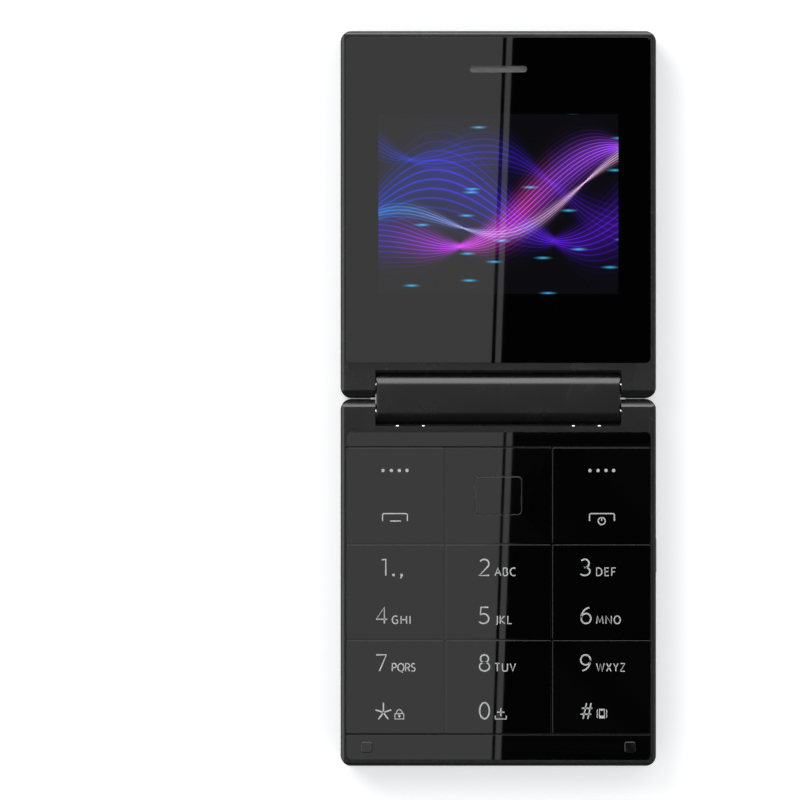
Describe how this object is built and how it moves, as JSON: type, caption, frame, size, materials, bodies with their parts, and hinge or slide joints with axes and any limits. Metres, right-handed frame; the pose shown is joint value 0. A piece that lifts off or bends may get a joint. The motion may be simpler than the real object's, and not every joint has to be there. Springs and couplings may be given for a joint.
{
  "type": "flip phone",
  "caption": "Folding mobile phone with a display lid, a plate keypad, a geared twin-axis hinge and a leather back, lying open and flat.",
  "frame": {"origin": "on the surface the open phone lies on, under the fold line, at mid-width", "axes": "+X to the right seen from the front, +Y from the keypad towards the top of the display, +Z out of the front faces"},
  "size_m": [0.0645, 0.15, 0.0093],
  "materials": {
    "frame_plastic": "satin painted plastic, nearly black",
    "key_gloss": "glossy black with a clear hard coat",
    "cover_glass": "polished glass, printed black behind",
    "display": "liquid crystal panel behind the cover glass",
    "leather": "black grained leather",
    "bright_trim": "bright plated",
    "dark_trim": "dark polished metal",
    "steel": "turned or stamped steel",
    "speaker_mesh": "fine grey mesh",
    "lens_glass": "coated glass",
    "flash_plastic": "frosted clear plastic",
    "rubber": "soft moulded rubber",
    "board": "green solder mask",
    "inner_plastic": "plain moulded plastic",
    "battery_wrap": "plain foil wrap",
    "flex_film": "amber film"
  },
  "bodies": {
    "base": {"base_front_frame": "frame_plastic", "base_rear_shell": "frame_plastic", "keypad_strips": "key_gloss", "keypad_web": "rubber", "dome_sheet": "steel", "main_pcb": "board", "shield_can": "steel", "card_holder": "steel", "battery": "battery_wrap", "battery_contacts": "steel", "vibration_motor": "steel", "loudspeaker": "inner_plastic", "microphone": "steel", "antenna": "inner_plastic", "charging_port": "steel", "battery_cover": "inner_plastic", "base_leather_panel": "leather", "base_trim": "bright_trim", "lid_bumpers": "rubber", "base_screws": "steel", "base_hinge_shafts": "steel"},
    "soft_call_key": {"soft_call_key": "key_gloss"},
    "soft_end_key": {"soft_end_key": "key_gloss"},
    "key_1_4": {"key_1_4": "key_gloss"},
    "key_2_5": {"key_2_5": "key_gloss"},
    "key_3_6": {"key_3_6": "key_gloss"},
    "key_7_star": {"key_7_star": "key_gloss"},
    "key_8_0": {"key_8_0": "key_gloss"},
    "key_9_hash": {"key_9_hash": "key_gloss"},
    "nav_plate": {"nav_plate": "key_gloss"},
    "nav_gimbal": {"nav_gimbal": "inner_plastic"},
    "ok_key": {"ok_key": "key_gloss"},
    "side_key": {"side_key": "frame_plastic"},
    "hinge_block": {"hinge_block_front": "frame_plastic", "hinge_block_back": "frame_plastic", "hinge_end_plates": "steel", "torque_clip": "steel", "display_flex": "flex_film"},
    "idler_gear_base": {"idler_gear_base": "steel"},
    "idler_gear_lid": {"idler_gear_lid": "steel"},
    "lid": {"lid_hinge_shafts": "steel", "lid_front_frame": "frame_plastic", "lid_rear_shell": "frame_plastic", "lid_glass": "cover_glass", "lcd_module": "display", "lcd_frame": "steel", "earpiece_receiver": "inner_plastic", "earpiece_mesh": "speaker_mesh", "camera_module": "inner_plastic", "camera_lens": "lens_glass", "flash_lens": "flash_plastic", "lens_rings": "dark_trim", "lens_bezels": "key_gloss", "camera_plate": "key_gloss", "lid_leather_panel": "leather", "lid_trim": "bright_trim", "lid_pcb": "board", "lid_screws": "steel", "closing_magnet": "steel"}
  },
  "joints": [
    {"name": "soft_call_key_rock", "type": "hinge", "parent": "base", "child": "soft_call_key", "pos_m": [-0.02104, -0.01979, 0.008], "axis": [1, 0, 0], "range_deg": [-1.5, 1.5], "stiffness_Nm_per_rad": 0.15},
    {"name": "soft_end_key_rock", "type": "hinge", "parent": "base", "child": "soft_end_key", "pos_m": [0.02104, -0.01979, 0.008], "axis": [1, 0, 0], "range_deg": [-1.5, 1.5], "stiffness_Nm_per_rad": 0.15},
    {"name": "key_1_4_rock", "type": "hinge", "parent": "base", "child": "key_1_4", "pos_m": [-0.02104, -0.03945, 0.008], "axis": [1, 0, 0], "range_deg": [-1.5, 1.5], "stiffness_Nm_per_rad": 0.15},
    {"name": "key_2_5_rock", "type": "hinge", "parent": "base", "child": "key_2_5", "pos_m": [0, -0.03945, 0.008], "axis": [1, 0, 0], "range_deg": [-1.5, 1.5], "stiffness_Nm_per_rad": 0.15},
    {"name": "key_3_6_rock", "type": "hinge", "parent": "base", "child": "key_3_6", "pos_m": [0.02104, -0.03945, 0.008], "axis": [1, 0, 0], "range_deg": [-1.5, 1.5], "stiffness_Nm_per_rad": 0.15},
    {"name": "key_7_star_rock", "type": "hinge", "parent": "base", "child": "key_7_star", "pos_m": [-0.02104, -0.05886, 0.008], "axis": [1, 0, 0], "range_deg": [-1.5, 1.5], "stiffness_Nm_per_rad": 0.15},
    {"name": "key_8_0_rock", "type": "hinge", "parent": "base", "child": "key_8_0", "pos_m": [0, -0.05886, 0.008], "axis": [1, 0, 0], "range_deg": [-1.5, 1.5], "stiffness_Nm_per_rad": 0.15},
    {"name": "key_9_hash_rock", "type": "hinge", "parent": "base", "child": "key_9_hash", "pos_m": [0.02104, -0.05886, 0.008], "axis": [1, 0, 0], "range_deg": [-1.5, 1.5], "stiffness_Nm_per_rad": 0.15},
    {"name": "nav_up_down", "type": "hinge", "parent": "base", "child": "nav_gimbal", "pos_m": [0, -0.01979, 0.00735], "axis": [1, 0, 0], "range_deg": [-1.5, 1.5], "stiffness_Nm_per_rad": 0.2},
    {"name": "nav_left_right", "type": "hinge", "parent": "nav_gimbal", "child": "nav_plate", "pos_m": [0, -0.01979, 0.008], "axis": [0, 1, 0], "range_deg": [-1.5, 1.5], "stiffness_Nm_per_rad": 0.2},
    {"name": "ok_press", "type": "slide", "parent": "nav_plate", "child": "ok_key", "axis": [0, 0, -1], "range_m": [0, 0.0002], "stiffness_N_per_m": 800},
    {"name": "side_key_press", "type": "slide", "parent": "base", "child": "side_key", "axis": [-1, 0, 0], "range_m": [0, 0.00025], "stiffness_N_per_m": 800},
    {"name": "base_hinge", "type": "hinge", "parent": "base", "child": "hinge_block", "pos_m": [0, -0.0027, 0.00655], "axis": [1, 0, 0], "range_deg": [0, 90]},
    {"name": "lid_hinge", "type": "hinge", "parent": "hinge_block", "child": "lid", "pos_m": [0, 0.0027, 0.00655], "axis": [1, 0, 0], "range_deg": [0, 90]},
    {"name": "idler_base_spin", "type": "hinge", "parent": "hinge_block", "child": "idler_gear_base", "pos_m": [-0.022, -0.0009, 0.00655], "axis": [1, 0, 0], "range_deg": [0, 90]},
    {"name": "idler_lid_spin", "type": "hinge", "parent": "hinge_block", "child": "idler_gear_lid", "pos_m": [-0.022, 0.0009, 0.00655], "axis": [1, 0, 0], "range_deg": [-90, 0]}
  ],
  "couplings": [
    {"joint": "base_hinge", "follows": "lid_hinge", "ratio": 1},
    {"joint": "idler_base_spin", "follows": "lid_hinge", "ratio": 1},
    {"joint": "idler_lid_spin", "follows": "lid_hinge", "ratio": -1}
  ]
}
